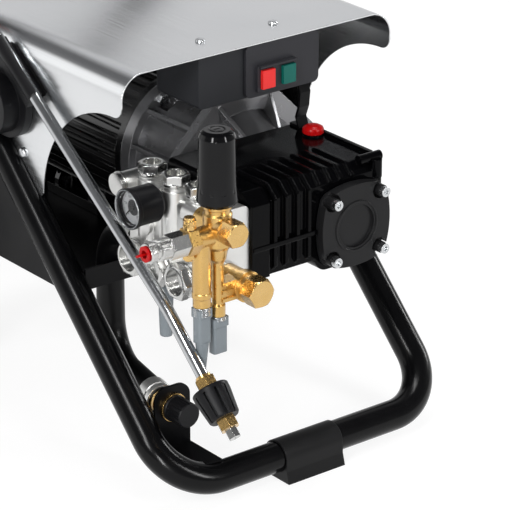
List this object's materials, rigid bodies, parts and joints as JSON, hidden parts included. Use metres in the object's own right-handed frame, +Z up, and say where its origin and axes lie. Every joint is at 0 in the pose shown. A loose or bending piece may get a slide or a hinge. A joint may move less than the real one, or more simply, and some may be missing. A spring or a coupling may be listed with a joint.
{
  "type": "pressure washer",
  "caption": "Wheeled electric pressure washer on a raked tube frame, with a ribbed plunger pump, brass unloader, sheet cover and stored spray lance.",
  "frame": {"origin": "on the ground, under the middle of the front bar, on the underside of the rubber foot", "axes": "+X to the right as seen from the front, +Y from the pump back to the handle, +Z up"},
  "size_m": [0.5487, 0.962, 0.8495],
  "materials": {
    "frame_paint": "semi-gloss black powder coat",
    "tray_paint": "satin black powder coat",
    "wheel_plastic": "dark grey moulded rim",
    "tyre_rubber": "matt",
    "foot_rubber": "matt",
    "hose_rubber": "smooth satin",
    "axle_steel": "zinc plated",
    "motor_paint": "gloss black enamel",
    "bell_cast": "black coated casting",
    "shaft_steel": "ground",
    "fan_plastic": "moulded",
    "cowl_paint": "satin black",
    "pump_paint": "gloss black enamel",
    "bolt_steel": "zinc plated",
    "red_plastic": "gloss",
    "head_nickel": "nickel plated casting, satin",
    "plug_nickel": "nickel plated, turned",
    "gauge_black": "satin",
    "dial_white": "matt",
    "gauge_lens": "clear",
    "needle_black": "matt",
    "brass": "turned and bead blasted",
    "knob_black": "fine grained",
    "switch_grey": "moulded",
    "box_black": "fine grained charcoal",
    "stop_red": "translucent gloss",
    "start_green": "translucent gloss",
    "cover_steel": "polished stainless sheet",
    "holder_black": "moulded",
    "lance_steel": "bright stainless tube",
    "gun_black": "moulded",
    "nozzle_steel": "turned",
    "clamp_steel": "zinc plated band"
  },
  "bodies": {
    "chassis": {"front_bar": "frame_paint", "left_leg": "frame_paint", "right_leg": "frame_paint", "handle_bar": "frame_paint", "foot_pad": "foot_rubber", "base_tray": "tray_paint", "axle": "axle_steel", "axle_caps": "wheel_plastic", "motor_housing": "motor_paint", "motor_feet": "motor_paint", "motor_bolts": "bolt_steel", "motor_bell": "bell_cast", "motor_bearings": "shaft_steel", "fan_cowl": "cowl_paint", "crankcase": "pump_paint", "bearing_cover": "pump_paint", "socket_bolts": "bolt_steel", "oil_cap": "red_plastic", "pump_head": "head_nickel", "delivery_plugs": "plug_nickel", "suction_plugs": "plug_nickel", "port_cap": "plug_nickel", "gauge_case": "gauge_black", "gauge_dial": "dial_white", "gauge_glass": "gauge_lens", "unloader_body": "brass", "banjo_bolts": "brass", "bleed_screw": "brass", "outlet_fitting": "plug_nickel", "outlet_plug": "red_plastic", "front_switch": "switch_grey", "rear_switch": "switch_grey", "thermal_valve": "switch_grey", "control_box": "box_black", "switch_plate": "box_black", "box_bracket": "tray_paint", "cover": "cover_steel", "cover_screws": "bolt_steel", "lance_holder": "holder_black", "lance_tube": "lance_steel", "lance_nuts": "brass", "nozzle_guard": "holder_black", "spray_nozzle": "nozzle_steel", "gun_body": "gun_black", "inlet_bracket": "tray_paint", "inlet_fitting": "brass", "inlet_cap": "holder_black", "suction_hose": "hose_rubber", "hose_clamps": "clamp_steel"},
    "left_wheel": {"left_rim": "wheel_plastic", "left_tyre": "tyre_rubber"},
    "right_wheel": {"right_rim": "wheel_plastic", "right_tyre": "tyre_rubber"},
    "rotor": {"motor_rotor": "shaft_steel", "cooling_fan": "fan_plastic"},
    "knob": {"unloader_knob": "knob_black"},
    "stop_key": {"stop_button": "stop_red"},
    "start_key": {"start_button": "start_green"},
    "needle": {"gauge_needle": "needle_black"},
    "trigger": {"gun_trigger": "red_plastic"}
  },
  "joints": [
    {"name": "left_wheel_spin", "type": "hinge", "parent": "chassis", "child": "left_wheel", "pos_m": [-0.22, 0.55, 0.14], "axis": [1, 0, 0], "continuous": true},
    {"name": "right_wheel_spin", "type": "hinge", "parent": "chassis", "child": "right_wheel", "pos_m": [0.22, 0.55, 0.14], "axis": [1, 0, 0], "continuous": true},
    {"name": "rotor_spin", "type": "hinge", "parent": "chassis", "child": "rotor", "pos_m": [0.04, 0.4, 0.289], "axis": [0, 1, 0], "continuous": true},
    {"name": "knob_turn", "type": "hinge", "parent": "chassis", "child": "knob", "pos_m": [-0.1633, -0.048, 0.4], "axis": [0, 0, 1], "range_deg": [-720, 720]},
    {"name": "stop_press", "type": "slide", "parent": "chassis", "child": "stop_key", "axis": [0, 1, 0], "range_m": [0, 0.004], "stiffness_N_per_m": 600},
    {"name": "start_press", "type": "slide", "parent": "chassis", "child": "start_key", "axis": [0, 1, 0], "range_m": [0, 0.004], "stiffness_N_per_m": 600},
    {"name": "needle_turn", "type": "hinge", "parent": "chassis", "child": "needle", "pos_m": [-0.194, 0.06, 0.339], "axis": [1, 0, 0], "range_deg": [0, 270], "stiffness_Nm_per_rad": 0.0005},
    {"name": "trigger_pull", "type": "hinge", "parent": "chassis", "child": "trigger", "pos_m": [-0.20389, 0.47363, 0.581], "axis": [0.6428, 0.4449, -0.6236], "range_deg": [0, 8], "stiffness_Nm_per_rad": 2}
  ]
}
